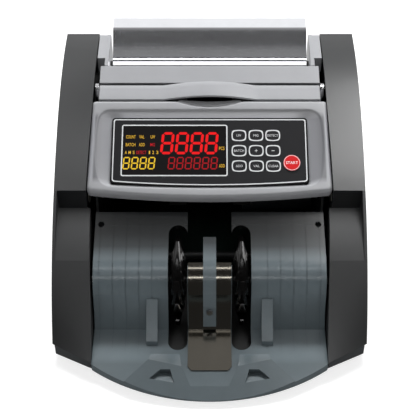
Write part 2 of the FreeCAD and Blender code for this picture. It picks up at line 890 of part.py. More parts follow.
def frame_plate(side, sign):
    outline = path(*PLATE_OUTLINE)
    holes = [circle((size(f"{a}_y"), size(f"{a}_z")), size("bearing_radius")) for a in AXES]
    holes.append(circle((size("idler_y"), size("idler_z")), 2.0))
    holes.append(circle((size("motor_y"), size("motor_z")), 4.0))
    for y, z in ROD_PLACES:
        holes.append(circle((y, z), 1.8))
    inner = cell("frame_inner")
    low, high = span(sign, inner, f"{inner} + {cell('plate_thickness')}")
    return node(f"{side}_frame_plate", side_pad(f"{side}_frame_plate", outline + holes, low, high))


def tie_rods():
    inner = cell("frame_inner")
    rods = [rod("tie_rod", "3.5", f"-{inner}", inner, f"{y}", f"{z}") for y, z in ROD_PLACES]
    return node("tie_rods", group("tie_rods", rods))


def shaft_bearings():
    """Sleeves that stand a little proud of the frame plates on both sides."""
    bearings = []
    bore = f"{cell('shaft_radius')} + {cell('running_gap')}"
    inner = f"{cell('frame_inner')} - 2"
    outer = f"{cell('frame_inner')} + {cell('plate_thickness')} + 1"
    for axis in AXES:
        for sign in (-1, 1):
            low, high = span(sign, inner, outer)
            y, z = cell(f"{axis}_y"), cell(f"{axis}_z")
            bearings.append(ring("bearing", cell("bearing_radius"), low, high, y, z, bore))
    return node("shaft_bearings", group("shaft_bearings", bearings))


def shaft(axis):
    half = cell("shaft_half")
    name = f"{axis}_shaft"
    bar = rod(name, cell("shaft_radius"), f"-{half}", half, cell(f"{axis}_y"), cell(f"{axis}_z"))
    if axis == "pickup":
        radius, low = BELTS["pickup_belt"][3:]
        bar = join("pickup_shaft_with_pulley", [bar, pulley("pickup", radius, low)])
    return node(name, bar)


def rollers(axis, radius, bore):
    pieces = []
    for sign in (-1, 1):
        low = f"{sign} * {cell('roller_centre')} - {cell('roller_width')} / 2"
        high = f"{sign} * {cell('roller_centre')} + {cell('roller_width')} / 2"
        pieces.append(ring(f"{axis}_roller", radius, low, high, cell(f"{axis}_y"), cell(f"{axis}_z"), bore))
    return node(f"{axis}_rollers", group(f"{axis}_rollers", pieces))


BELTS = {
    # belt: (first axis, its pulley radius, second axis, its pulley radius, lowest X of the belt's plane)
    "main_belt": ("motor", 9.0, "feed", 15.0, 105.4),
    "delivery_belt": ("feed", 11.0, "delivery", 9.0, -111.0),
    "stacker_belt": ("delivery", 8.0, "stacker", 11.0, 105.4),
    "pickup_belt": ("feed", 9.0, "pickup", 9.0, -104.6),
}


def centre_of(axis):
    return (size(f"{axis}_y"), size(f"{axis}_z"))


def loop_outline(first, r1, second, r2):
    """A taut loop round two circles."""
    dy = second[0] - first[0]
    dz = second[1] - first[1]
    heading = math.atan2(dz, dy)
    lean = math.acos((r1 - r2) / math.hypot(dy, dz))

    def at(centre, radius, angle):
        return (centre[0] + radius * math.cos(angle), centre[1] + radius * math.sin(angle))

    return path(
        at(first, r1, heading + lean),
        (at(first, r1, heading + math.pi), at(first, r1, heading - lean)),
        at(second, r2, heading - lean),
        (at(second, r2, heading), at(second, r2, heading + lean)),
    )


def belt(name):
    first, r1, second, r2, low = BELTS[name]
    gap = size("belt_gap")
    thick = size("belt_thickness")
    inside = loop_outline(centre_of(first), r1 + gap, centre_of(second), r2 + gap)
    outside = loop_outline(centre_of(first), r1 + gap + thick, centre_of(second), r2 + gap + thick)
    body = side_pad(name, outside + inside, f"{low} + 0.5", f"{low} + 0.5 + {cell('belt_width')}")
    return node(name, body)


def pulley(axis, radius, low):
    high = f"{low} + {cell('pulley_width')}"
    y, z = cell(f"{axis}_y"), cell(f"{axis}_z")
    return ring(f"{axis}_wheel", f"{radius}", f"{low}", high, y, z, cell("shaft_radius"))


def pulleys():
    """Each shaft's pulleys are one node."""
    names = {
        "stacker": "stacker_pulley",
        "feed": "feed_pulleys",
        "delivery": "delivery_pulleys",
        "motor": "motor_pulley",
    }
    for axis, name in names.items():
        pieces = [pulley(axis, r1, low) for first, r1, second, r2, low in BELTS.values() if first == axis]
        pieces += [pulley(axis, r2, low) for first, r1, second, r2, low in BELTS.values() if second == axis]
        if axis == "motor":
            y, z = cell("motor_y"), cell("motor_z")
            pieces.append(rod("motor_spindle", cell("shaft_radius"), "94", "112.5", y, z))
        node(name, pieces[0] if len(pieces) == 1 else group(name, pieces))


def main_motor():
    axis = (cell("motor_y"), cell("motor_z"))
    can = rod("motor_can", cell("motor_radius"), "30", "92", *axis)
    nose = rod("motor_nose", "8", "92", cell("frame_inner"), *axis)
    tail = rod("motor_tail", "7", "26", "30", *axis)
    room = rod("motor_bore", "4", "93.5", "100", *axis)
    return node("main_motor", cut("main_motor", join("motor_joined", [can, nose, tail]), [room]))


def retard_block():
    block = path((55.5, 129.5), (62.6, 128.5), (65.6, 133.8), (64.6, 135.6), (57.0, 135.6))
    body = side_pad("retard_body", block, "-36", "36")
    arms = rod("retard_rod", "2", f"-{cell('frame_inner')}", cell("frame_inner"), "59.5", "132.5")
    return node("retard_block", join("retard_block", [body, arms]))


def idler():
    inner = f"{cell('frame_inner')} + {cell('plate_thickness')}"
    node("idler_shaft", rod("idler_shaft", "2", f"-({inner})", inner, cell("idler_y"), cell("idler_z")))
    rollers("idler", cell("idler_radius"), f"2 + {cell('running_gap')}")


def sensor_bar():
    body = box("sensor_body", ("-84", "34", "110"), ("84", "46", "117"))
    ears = box("sensor_ears", (f"-{cell('frame_inner')}", "37", "112"), (cell("frame_inner"), "43", "115"))
    return node("sensor_bar", join("sensor_bar", [body, ears]))


def main_board():
    board = box("board_plate", ("-80", "-2", "12"), ("80", "118", "13.6"))
    posts = [cylinder("board_post", "3", "5.5", (x, y, 6.5)) for x in (-74.0, 74.0) for y in (4.0, 112.0)]
    return node("main_board", join("main_board", [board] + posts))


def power_inlet():
    """One module: a three-pin inlet, a fuse drawer and the opening of the rocker switch."""
    body = box("inlet_body", ("40", "118", "22"), ("92", "142", "50"))
    flange = box("inlet_flange", ("37", "142", "19"), ("95", "144", "53"))
    mouth = box("inlet_mouth", ("44", "126", "27"), ("68", "150", "45"))
    switch_room = box("switch_room", ("74.7", "130", "26.7"), ("88.3", "150", "45.3"))
    pins = []
    for x, z in ((49, 38), (56, 34), (63, 38)):
        pins.append(box("inlet_pin", (f"{x - 1}", "125.5", f"{z - 2}"), (f"{x + 1}", "139", f"{z + 2}")))
    shell = cut("inlet_shell", join("inlet_joined", [body, flange]), [mouth, switch_room])
    return node("power_inlet", join("power_inlet", [shell] + pins))


def power_rocker():
    """Rocks about a level axis; its face is two flats that meet at the axis."""
    shape = path(
        (136.5, 29.0),
        (143.2, 28.2),
        (143.4, 36.0),
        (145.2, 43.2),
        (139.0, 43.6),
        (134.5, 40.5),
        (133.0, 36.0),
        (134.5, 31.5),
    )
    return node("power_rocker", side_pad("power_rocker", shape, "75.2", "87.8"))


def density_knob():
    stem = cylinder("knob_stem", "4", "8.6", (KNOB_X, 137, KNOB_Z), AXIS_Y)
    grip = cylinder("knob_grip", "8", "7", (KNOB_X, 143, KNOB_Z), AXIS_Y)
    return node("density_knob", join("density_knob", [stem, grip]))


# Assembly -----------------------------------------------------------------------------------------------

def build():
    base_tray()
    rubber_feet()
    right = node("right_side_cover", right_cover())
    node("left_side_cover", left_cover(right))
    rear_cover()
    control_panel_housing()
    panel_overlay()
    display_window()
    display_board()
    keys()
    stacker_tray()
    stacker_steel_plate()
    centre_guide_strip()
    tray_screws()
    mirrored_pair(finger_wheel)
    hopper_front_cover()
    hopper_flap()
    flap_hinge_pins()
    hopper_back_plate()
    mirrored_pair(hopper_wall)
    hopper_floor()
    mirrored_pair(frame_plate)
    tie_rods()
    shaft_bearings()
    for axis in AXES:
        shaft(axis)
    for axis in ("feed", "pickup", "delivery"):
        rollers(axis, cell(f"{axis}_radius"), cell("shaft_radius"))
    for name in BELTS:
        belt(name)
    pulleys()
    main_motor()
    retard_block()
    idler()
    sensor_bar()
    main_board()
    power_inlet()
    power_rocker()
    density_knob()


def check_and_write():
    DOC.recompute()
    for obj in DOC.Objects:
        bad = {"Invalid", "Error"} & set(obj.State)
        if bad:
            raise RuntimeError(f"{obj.Name} ({obj.Label}): {sorted(bad)}")
    os.makedirs("parts", exist_ok=True)
    for name, obj in NODES.items():
        if obj.Shape.isNull() or not obj.Shape.isValid() or not obj.Shape.Solids:
            raise RuntimeError(f"{name}: no valid solid")
        obj.Shape.exportStep(f"parts/{name}.step")
    print(len(NODES), "nodes")


build()
check_and_write()
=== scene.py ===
import json
import math

import bmesh
import bpy
from mathutils import Matrix, Vector


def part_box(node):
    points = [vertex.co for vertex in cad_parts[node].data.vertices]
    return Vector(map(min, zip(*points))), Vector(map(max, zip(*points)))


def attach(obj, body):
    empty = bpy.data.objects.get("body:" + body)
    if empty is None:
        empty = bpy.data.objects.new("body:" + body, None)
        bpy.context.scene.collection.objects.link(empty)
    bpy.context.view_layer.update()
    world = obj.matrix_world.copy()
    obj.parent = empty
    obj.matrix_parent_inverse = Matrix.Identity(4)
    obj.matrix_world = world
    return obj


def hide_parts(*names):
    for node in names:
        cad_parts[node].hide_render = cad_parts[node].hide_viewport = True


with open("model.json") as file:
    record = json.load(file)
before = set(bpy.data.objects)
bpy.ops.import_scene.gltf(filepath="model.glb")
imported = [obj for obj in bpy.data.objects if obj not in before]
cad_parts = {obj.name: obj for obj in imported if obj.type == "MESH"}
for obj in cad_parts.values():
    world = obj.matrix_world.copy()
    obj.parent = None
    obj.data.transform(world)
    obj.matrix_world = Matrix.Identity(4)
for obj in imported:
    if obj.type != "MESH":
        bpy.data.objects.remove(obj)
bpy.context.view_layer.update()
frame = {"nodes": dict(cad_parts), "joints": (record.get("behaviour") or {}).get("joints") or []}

MM = 0.001
NODES = frame["nodes"]
JOINTS = {joint["name"]: joint for joint in frame["joints"]}

# Materials --------------------------------------------------------------------------------------


def srgb(red, green, blue):
    """A display colour, 0 to 255, as linear light."""
    values = []
    for value in (red, green, blue):
        value /= 255
        values.append(value / 12.92 if value <= 0.04045 else ((value + 0.055) / 1.055) ** 2.4)
    return (*values, 1.0)


def add(tree, kind, **inputs):
    made = tree.nodes.new(kind)
    for key, value in inputs.items():
        made.inputs[key.replace("_", " ")].default_value = value
    return made


def reckon(tree, operation, *values):
    """The result of a maths node; each value is a number or another node's output."""
    made = tree.nodes.new("ShaderNodeMath")
    made.operation = operation
    for value, socket in zip(values, made.inputs):
        if isinstance(value, float):
            socket.default_value = value
        else:
            tree.links.new(value, socket)
    return made.outputs["Value"]


def axes(tree, source="Object"):
    """The X, Y and Z of the shaded point in the part's own frame, or of its direction in the room."""
    place = tree.nodes.new("ShaderNodeTexCoord")
    split = tree.nodes.new("ShaderNodeSeparateXYZ")
    tree.links.new(place.outputs[source], split.inputs["Vector"])
    return split.outputs


def spread(tree, value, **limits):
    """A value carried from one range to another."""
    made = add(tree, "ShaderNodeMapRange", **limits)
    tree.links.new(value, made.inputs["Value"])
    return made.outputs["Result"]


def levels_along(tree, share, levels, blue=1.0):
    """A grey that follows (position, level) pairs as the share goes from 0 to 1."""
    ramp = tree.nodes.new("ShaderNodeValToRGB")
    marks = ramp.color_ramp.elements
    while len(marks) < len(levels):
        marks.new(0.5)
    for mark, (position, level) in zip(marks, levels):
        mark.position = position
        mark.color = (level, level, level * blue, 1)
    tree.links.new(share, ramp.inputs["Fac"])
    return ramp.outputs["Color"]


def recolour(finish, share, colour, other, how="MIX"):
    """Mixes a finish's colour with another by this share; the other is a colour or a node's output."""
    tree = finish.node_tree
    mix = tree.nodes.new("ShaderNodeMix")
    mix.data_type = "RGBA"
    mix.blend_type = how
    if isinstance(other, tuple):
        mix.inputs["B"].default_value = other
    else:
        tree.links.new(other, mix.inputs["B"])
    tree.links.new(share, mix.inputs["Factor"])
    tree.links.new(colour, mix.inputs["A"])
    tree.links.new(mix.outputs["Result"], tree.nodes["Principled BSDF"].inputs["Base Color"])


def surface(name, colour, rough, metal=0.0, vary=0.10, blotch=45.0, grain=1600.0, bump=0.12, depth=0.00006,
            rough_vary=0.08, stretch=(1, 1, 1), specular=0.5):
    """A moulded or machined surface: cloudy colour, fine grain in the relief and uneven gloss."""
    made = bpy.data.materials.new(name)
    made.use_nodes = True
    tree = made.node_tree
    link = tree.links.new
    shader = tree.nodes["Principled BSDF"]
    shader.inputs["Metallic"].default_value = metal
    shader.inputs["Specular IOR Level"].default_value = specular
    place = tree.nodes.new("ShaderNodeTexCoord")
    mapping = add(tree, "ShaderNodeMapping", Scale=stretch)
    link(place.outputs["Object"], mapping.inputs["Vector"])
    clouds = add(tree, "ShaderNodeTexNoise", Scale=blotch, Detail=4.0, Roughness=0.6)
    fine = add(tree, "ShaderNodeTexNoise", Scale=grain, Detail=3.0, Roughness=0.55)
    link(mapping.outputs["Vector"], clouds.inputs["Vector"])
    link(mapping.outputs["Vector"], fine.inputs["Vector"])
    ramp = tree.nodes.new("ShaderNodeValToRGB")
    ramp.color_ramp.elements[0].position = 0.3
    ramp.color_ramp.elements[1].position = 0.72
    ramp.color_ramp.elements[0].color = (*[c * (1 - vary) for c in colour[:3]], 1)
    ramp.color_ramp.elements[1].color = (*[min(1.0, c * (1 + vary)) for c in colour[:3]], 1)
    link(clouds.outputs["Fac"], ramp.inputs["Fac"])
    link(ramp.outputs["Color"], shader.inputs["Base Color"])
    least, most = max(0.02, rough - rough_vary), rough + rough_vary
    link(spread(tree, fine.outputs["Fac"], To_Min=least, To_Max=most), shader.inputs["Roughness"])
    relief = add(tree, "ShaderNodeBump", Strength=bump, Distance=depth)
    link(fine.outputs["Fac"], relief.inputs["Height"])
    link(relief.outputs["Normal"], shader.inputs["Normal"])
    return made


def glowing(name, colour, power):
    """A lit display segment, a little uneven from end to end."""
    made = surface(name, colour, 0.6, vary=0.06, blotch=260.0, specular=0.05)
    tree = made.node_tree
    shader = tree.nodes["Principled BSDF"]
    tree.links.new(tree.nodes["Color Ramp"].outputs["Color"], shader.inputs["Emission Color"])
    tree.links.remove(shader.inputs["Base Color"].links[0])
    shader.inputs["Base Color"].default_value = (0.01, 0.003, 0.003, 1)
    shader.inputs["Emission Strength"].default_value = power
    return made


PANEL_GREY = surface("panel_grey", srgb(141, 142, 145), 0.42, vary=0.03, grain=1400)
# The housing's own copy of the panel grey; it carries the painted shade on the flanks round the label.
HOUSING_GREY = surface("housing_grey", srgb(146, 147, 150), 0.42, vary=0.03, grain=1400)
BASE_GREY = surface("base_grey", srgb(50, 53, 55), 0.5, vary=0.04)
COVER_BLACK = surface("cover_black", srgb(16, 18, 20), 0.34, vary=0.12, grain=1500, bump=0.16, specular=0.85)
TRAY_GREY = surface("tray_grey", srgb(106, 117, 122), 0.20, vary=0.06, grain=1500, bump=0.08, rough_vary=0.05,
                    specular=0.4)
WHEEL_BLACK = surface("wheel_black", srgb(9, 8, 8), 0.16, vary=0.1, grain=700, bump=0.02, rough_vary=0.04,
                      specular=0.3)
RUBBER = surface("rubber", srgb(28, 28, 29), 0.75, grain=2200, bump=0.3)
LABEL_GREY = surface("label_grey", srgb(29, 29, 31), 0.6, vary=0.04, grain=2500, bump=0.08, specular=0.12)
LABEL_BLACK = surface("label_black", srgb(12, 12, 13), 0.6, vary=0.05, grain=2500, bump=0.06, specular=0.12)
SILVER_INK = surface("silver_ink", srgb(205, 207, 209), 0.45, vary=0.04, grain=2500, bump=0.05)
LEGEND_INK = surface("legend_ink", srgb(205, 206, 208), 0.5, vary=0.03)
WHITE_INK = surface("white_ink", srgb(245, 245, 245), 0.5, vary=0.02)
WINDOW_BLACK = surface("window_black", srgb(10, 7, 8), 0.10, vary=0.1, grain=300, bump=0.01, rough_vary=0.03,
                       specular=0.08)
START_RED = surface("start_red", srgb(200, 6, 14), 0.5, vary=0.05, grain=1800, bump=0.06, specular=0.15)
CHROME = surface("chrome", srgb(225, 226, 230), 0.07, metal=1.0, vary=0.03, grain=500, bump=0.01,
                 rough_vary=0.03)
STEEL = surface("polished_steel", srgb(118, 114, 106), 0.12, metal=1.0, vary=0.06, blotch=60, grain=1500,
                bump=0.05, rough_vary=0.08, stretch=(1.0, 0.1, 0.1))
ZINC = surface("frame_steel", srgb(24, 25, 26), 0.5, vary=0.1, blotch=25, grain=900, rough_vary=0.12)
SHAFT = surface("shaft_steel", srgb(190, 190, 192), 0.2, metal=1.0, vary=0.05, stretch=(0.1, 1, 1))
SCREW = surface("screw_steel", srgb(120, 122, 124), 0.3, metal=1.0, vary=0.08)
ROLLER = surface("roller_rubber", srgb(58, 56, 54), 0.7, vary=0.12, grain=1500, bump=0.3)
PULLEY = surface("pulley_plastic", srgb(215, 215, 205), 0.45)
BELT = surface("belt_rubber", srgb(22, 22, 22), 0.65, bump=0.3)
MOTOR = surface("motor_metal", srgb(160, 162, 165), 0.35, metal=0.9, vary=0.08)
SENSOR = surface("sensor_plastic", srgb(20, 20, 21), 0.5)
BOARD = surface("circuit_board", srgb(14, 26, 22), 0.45, vary=0.25, blotch=160, grain=700, bump=0.4,
                depth=0.0002)
INLET = surface("inlet_plastic", srgb(20, 20, 21), 0.42, vary=0.08)
DIGIT_RED = glowing("digit_red", srgb(243, 22, 26), 1.0)
DIGIT_DIM = glowing("digit_dim", srgb(186, 20, 30), 0.8)
DIGIT_AMBER = glowing("digit_amber", srgb(248, 204, 52), 0.95)
WORD_AMBER = glowing("word_amber", srgb(235, 185, 55), 1.0)
WORD_RED = glowing("word_red", srgb(205, 28, 38), 0.9)
RING_PINK = surface("ring_pink", srgb(235, 170, 172), 0.45, vary=0.03)


def own_colour(finish):
    return finish.node_tree.nodes["Color Ramp"].outputs["Color"]


def paint_inside_shade(finish, reach, low):
    """Painted shade: a finish near-black inside the machine, within reach of the middle and below low."""
    tree = finish.node_tree
    at = axes(tree)
    near = reckon(tree, "LESS_THAN", reckon(tree, "ABSOLUTE", at["X"]), reach)
    both = reckon(tree, "MULTIPLY", near, reckon(tree, "LESS_THAN", at["Z"], low))
    recolour(finish, both, own_colour(finish), (0.004, 0.004, 0.004, 1))


def paint_flank_shade(finish):
    """Painted shade: deepens a finish where the control panel slopes down to the label at its left and right.
    """
    tree = finish.node_tree
    at = axes(tree)
    outward = spread(tree, reckon(tree, "ABSOLUTE", at["X"]), From_Min=0.080, From_Max=0.100)
    along = reckon(tree, "ABSOLUTE", reckon(tree, "SUBTRACT", at["Y"], PANEL_MIDDLE_Y))
    within = spread(tree, along, From_Min=0.024, From_Max=0.0285, To_Min=1.0, To_Max=0.0)
    shade = levels_along(tree, outward, FLANK_SHADE_LEVELS, blue=1.03)
    recolour(finish, within, own_colour(finish), shade, "MULTIPLY")


def paint_tray_shade(finish, middle, rear, front, radius):
    """Painted shade: the walls of the two finger-wheel slots near-black, and the tray's light and shade front
    to back.
    """
    tree = finish.node_tree
    at = axes(tree)
    across = reckon(tree, "SUBTRACT", reckon(tree, "ABSOLUTE", at["X"]), middle)
    along = reckon(tree, "ABSOLUTE", reckon(tree, "SUBTRACT", at["Y"], (rear + front) / 2))
    beyond = reckon(tree, "MAXIMUM", reckon(tree, "SUBTRACT", along, (rear - front) / 2), 0.0)
    across, beyond = (reckon(tree, "MULTIPLY", leg, leg) for leg in (across, beyond))
    inside = reckon(tree, "LESS_THAN", reckon(tree, "SQRT", reckon(tree, "ADD", across, beyond)), radius)
    shade = levels_along(tree, spread(tree, at["Y"], From_Min=-0.155, From_Max=-0.015), TRAY_SHADE_LEVELS)
    scaled = tree.nodes.new("ShaderNodeVectorMath")
    scaled.operation = "SCALE"
    tree.links.new(own_colour(finish), scaled.inputs["Vector"])
    tree.links.new(shade, scaled.inputs["Scale"])
    recolour(finish, inside, scaled.outputs["Vector"], (0.003, 0.003, 0.003, 1))


def duller_ahead(finish, line, blend, extra):
    """Makes a finish more matte in front of this line across the machine, over a short blend."""
    tree = finish.node_tree
    rough = tree.nodes["Principled BSDF"].inputs["Roughness"]
    usual = rough.links[0].from_socket
    more = spread(tree, axes(tree)["Y"], From_Min=line, From_Max=line + blend, To_Min=extra, To_Max=0.0)
    tree.links.new(reckon(tree, "ADD", usual, more), rough)


PANEL_MIDDLE_Y = 0.0214
# Painted shade on the panel's flanks: multipliers on the housing grey across |x| from 80 to 100 mm.
FLANK_SHADE_LEVELS = ((0.0, 1.0), (0.25, 0.68), (0.6, 0.6), (0.9, 0.42), (0.98, 1.0))
# Painted light and shade along the tray, front (0) to rear (1): lighter on the floor, darkest in the shadow
# under the panel.
TRAY_SHADE_LEVELS = (
    (0.0, 0.52), (0.25, 0.52), (0.36, 0.95), (0.66, 0.95), (0.71, 0.62), (0.79, 0.16), (0.95, 0.05),
)

# Painted shade: the inside of the base tray is painted near-black.
paint_inside_shade(BASE_GREY, reach=0.0945, low=0.02)
paint_flank_shade(HOUSING_GREY)
duller_ahead(COVER_BLACK, line=-0.0137, blend=0.0006, extra=0.28)
paint_tray_shade(TRAY_GREY, middle=0.02655, rear=-0.034, front=-0.098, radius=0.00812)

CARRIED = {
    BASE_GREY: ["base_tray"],
    RUBBER: ["rubber_feet"],
    COVER_BLACK: ["left_side_cover", "right_side_cover", "rear_cover"],
    PANEL_GREY: [
        "control_panel_housing", "hopper_front_cover", "hopper_flap", "left_hopper_wall", "right_hopper_wall",
    ],
    LABEL_GREY: ["panel_overlay"],
    WINDOW_BLACK: ["display_window"],
    BOARD: ["display_board", "main_board"],
    START_RED: ["start_button"],
    TRAY_GREY: ["stacker_tray", "centre_guide_strip"],
    STEEL: ["stacker_steel_plate"],
    SCREW: ["tray_screws"],
    WHEEL_BLACK: ["left_stacker_wheel", "right_stacker_wheel"],
    CHROME: ["hopper_back_plate"],
    SENSOR: ["hopper_floor", "sensor_bar", "retard_block"],
    ZINC: ["left_frame_plate", "right_frame_plate", "tie_rods", "stacker_shaft"],
    SHAFT: [
        "flap_hinge_pins", "shaft_bearings", "delivery_shaft", "feed_shaft", "pickup_shaft", "idler_shaft",
    ],
    ROLLER: ["feed_rollers", "pickup_rollers", "delivery_rollers", "idler_rollers"],
    BELT: ["main_belt", "delivery_belt", "stacker_belt", "pickup_belt"],
    PULLEY: ["stacker_pulley", "feed_pulleys", "delivery_pulleys", "motor_pulley"],
    MOTOR: ["main_motor"],
    INLET: ["power_inlet", "power_rocker", "density_knob"],
}
KEYS = sorted(name for name in NODES if name.startswith("key_"))
CARRIED[LABEL_GREY] = CARRIED[LABEL_GREY] + KEYS


def dress(node, finish):
    slots = NODES[node].data.materials
    if not slots:
        slots.append(finish)
    for index in range(len(slots)):
        slots[index] = finish


for finish, members in CARRIED.items():
    for member in members:
        dress(member, finish)

# Control panel frame ----------------------------------------------------------------------------

NORMAL = -Vector(JOINTS["start_button_press"]["axis"])
ACROSS = Vector((1, 0, 0))
UP_SLOPE = NORMAL.cross(ACROSS)
WINDOW = (-75.2, 13.3, 15.1, 60.6)  # left, bottom, right and top of the display window on the panel
WINDOW_DEPTH = 0.75
LABEL_TOP = -0.3
low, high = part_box("display_window")
WINDOW_CENTRE = (low + high) / 2
PANEL_ORIGIN = (
    WINDOW_CENTRE
    - ACROSS * (WINDOW[0] + WINDOW[2]) / 2 * MM
    - UP_SLOPE * (WINDOW[1] + WINDOW[3]) / 2 * MM
    + NORMAL * WINDOW_DEPTH * MM
)
PANEL = Matrix(
    (
        (ACROSS.x, UP_SLOPE.x, NORMAL.x, PANEL_ORIGIN.x),
        (ACROSS.y, UP_SLOPE.y, NORMAL.y, PANEL_ORIGIN.y),
        (ACROSS.z, UP_SLOPE.z, NORMAL.z, PANEL_ORIGIN.z),
        (0, 0, 0, 1),
    )
)


def on_panel(u, s, n):
    """A point on the panel in mm: u to the right, s up the slope and n out of it."""
    return PANEL @ Vector((u * MM, s * MM, n * MM))


# Mesh helpers -----------------------------------------------------------------------------------


def place_mesh(name, mesh, finish, body):
    """Puts a finished mesh in the scene, where it moves with its body."""
    mesh.materials.append(finish)
    made = bpy.data.objects.new(name, mesh)
    bpy.context.scene.collection.objects.link(made)
    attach(made, body)
    return made


def piece(name, verts, faces, finish, body, smooth=True):
    """A visible piece made from points in metres and faces, shaded smooth up to 35 degrees."""
    mesh = bpy.data.meshes.new(name)
    mesh.from_pydata([tuple(v) for v in verts], [], faces)
    mesh.validate()
    work = bmesh.new()
    work.from_mesh(mesh)
    bmesh.ops.recalc_face_normals(work, faces=work.faces)
    work.to_mesh(mesh)
    work.free()
    if smooth:
        mesh.shade_smooth()
        mesh.set_sharp_from_angle(angle=math.radians(35))
    return place_mesh(name, mesh, finish, body)


def ring_faces(rings, count, closed=False):
    """Quads between successive loops of this many points each."""
    faces = []
    for ring in range(rings if closed else rings - 1):
        here, there = ring * count, (ring + 1) % rings * count
        for i in range(count):
            j = (i + 1) % count
            faces.append((here + i, here + j, there + j, there + i))
    return faces


def strip(name, outer, inner, low, high, finish, body):
    """A flat raised line between two closed outlines on the panel."""
    verts = []
    for loop, n in ((outer, low), (outer, high), (inner, high), (inner, low)):
        verts += [on_panel(u, s, n) for u, s in loop]
    return piece(name, verts, ring_faces(4, len(outer)), finish, body)


def bowed_loop(corners, sags, radius, counts, corner_steps=5):
    """A closed outline from four corners, anticlockwise; each side bows out by its sag."""
    sides = []
    for k in range(4):
        a = Vector(corners[k])
        b = Vector(corners[(k + 1) % 4])
        along = b - a
        outward = Vector((along.y, -along.x)).normalized()
        trim = radius / along.length
        side = []
        for i in range(counts[k] + 1):
            t = trim + (1 - 2 * trim) * i / counts[k]
            side.append(a + along * t + outward * sags[k] * 4 * t * (1 - t))
        sides.append(side)
    loop = []
    for k in range(4):
        loop += sides[k]
        start, end = sides[k][-1], sides[(k + 1) % 4][0]
        corner = Vector(corners[(k + 1) % 4])
        for i in range(1, corner_steps):
            t = i / corner_steps
            loop.append(start * (1 - t) ** 2 + corner * 2 * t * (1 - t) + end * t**2)
    return [(p.x, p.y) for p in loop]


def loft_loops(loops, capped=False):
    """Vertices and faces of a skin over loops of equal length."""
    verts = [p for loop in loops for p in loop]
    count = len(loops[0])
    faces = ring_faces(len(loops), count)
    if capped:
        faces.append(tuple(reversed(range(count))))
        faces.append(tuple(range(len(verts) - count, len(verts))))
    return verts, faces


def bevel(shape, width, degrees):
    soft = shape.modifiers.new("soft_edges", "BEVEL")
    soft.width = width * MM
    soft.segments = 2
    soft.limit_method = "ANGLE"
    soft.angle_limit = math.radians(degrees)


# Display ----------------------------------------------------------------------------------------


def segment_outlines(width, height, thick):
    """The seven bars of a digit, each a six-sided outline."""
    gap = thick * 0.2
    half = thick / 2
    mid = height / 2
    bars = []
    for s in (half, mid, height - half):
        a, b = half + gap, width - half - gap
        c, d = a + half, b - half
        bars.append([(a, s), (c, s - half), (d, s - half), (b, s), (d, s + half), (c, s + half)])
    for u in (half, width - half):
        for low_s, high_s in ((half, mid), (mid, height - half)):
            a, b = low_s + gap, high_s - gap
            c, d = a + half, b - half
            bars.append([(u, a), (u + half, c), (u + half, d), (u, b), (u - half, d), (u - half, c)])
    return bars


def digits(name, left, bottom, count, pitch, width, height, thick, finish, slant=0.09):
    """A row of lit seven-bar digits, all bars on."""
    verts, faces = [], []
    for digit in range(count):
        for bar in segment_outlines(width, height, thick):
            base = len(verts)
            for n in (LABEL_TOP - 0.02, LABEL_TOP + 0.03):
                verts += [on_panel(left + digit * pitch + u + s * slant, bottom + s, n) for u, s in bar]
            size = len(bar)
            faces.append(tuple(range(base + size, base + 2 * size)))
            for i in range(size):
                j = (i + 1) % size
                faces.append((base + i, base + j, base + size + j, base + size + i))
    return piece(name, verts, faces, finish, "machine_frame", smooth=False)


def words(name, items, finish, body, top=LABEL_TOP, weight=0.0):
    """Small printed or lit words on the panel: (text, centre u, centre s, height, width)."""
    work = bmesh.new()
    for text, u, s, tall, wide in items:
        curve = bpy.data.curves.new("word", "FONT")
        curve.body = text
        curve.size = 1.0
        curve.resolution_u = 3
        curve.extrude = 0.01
        curve.offset = weight
        holder = bpy.data.objects.new("word", curve)
        mesh = bpy.data.meshes.new_from_object(holder)
        xs = [v.co.x for v in mesh.vertices]
        ys = [v.co.y for v in mesh.vertices]
        low_x, high_x, low_y, high_y = min(xs), max(xs), min(ys), max(ys)
        for v in mesh.vertices:
            along = u + (v.co.x - (low_x + high_x) / 2) * wide / (high_x - low_x)
            up = s + (v.co.y - (low_y + high_y) / 2) * tall / (high_y - low_y)
            v.co = on_panel(along, up, top + (0.04 if v.co.z > 0 else -0.01))
        work.from_mesh(mesh)
        bpy.data.meshes.remove(mesh)
        bpy.data.objects.remove(holder)
        bpy.data.curves.remove(curve)
    mesh = bpy.data.meshes.new(name)
    work.to_mesh(mesh)
    work.free()
    return place_mesh(name, mesh, finish, body)


digits("count_digits", left=-42.6, bottom=33.2, count=4, pitch=12.6, width=10.9, height=20.6, thick=2.3,
       finish=DIGIT_RED)
digits("value_digits", left=-35.9, bottom=19.3, count=6, pitch=7.24, width=5.9, height=11.4, thick=1.05,
       finish=DIGIT_DIM)
digits("batch_digits", left=-74.3, bottom=19.3, count=4, pitch=7.16, width=5.9, height=11.4, thick=1.1,
       finish=DIGIT_AMBER)
words("display_words", [
    ("COUNT", -67.6, 49.4, 3.0, 8.2), ("VAL", -58.2, 49.4, 3.0, 4.4), ("UV", -48.7, 49.4, 3.0, 3.8),
    ("BATCH", -67.6, 42.1, 3.0, 8.2), ("ADD", -58.0, 42.1, 3.0, 5.0),
    ("A", -71.4, 34.9, 3.0, 1.7), ("M", -68.2, 34.9, 3.0, 2.0), ("S", -64.8, 34.9, 3.0, 1.6),
    ("1", -51.3, 34.9, 3.0, 1.1), ("2", -48.2, 34.9, 3.0, 1.7), ("3", -44.7, 34.9, 3.0, 1.8),
    ("PCS", 10.3, 38.7, 3.1, 4.6), ("ADD", 10.4, 22.6, 3.0, 4.8),
], WORD_AMBER, "machine_frame", weight=0.004)
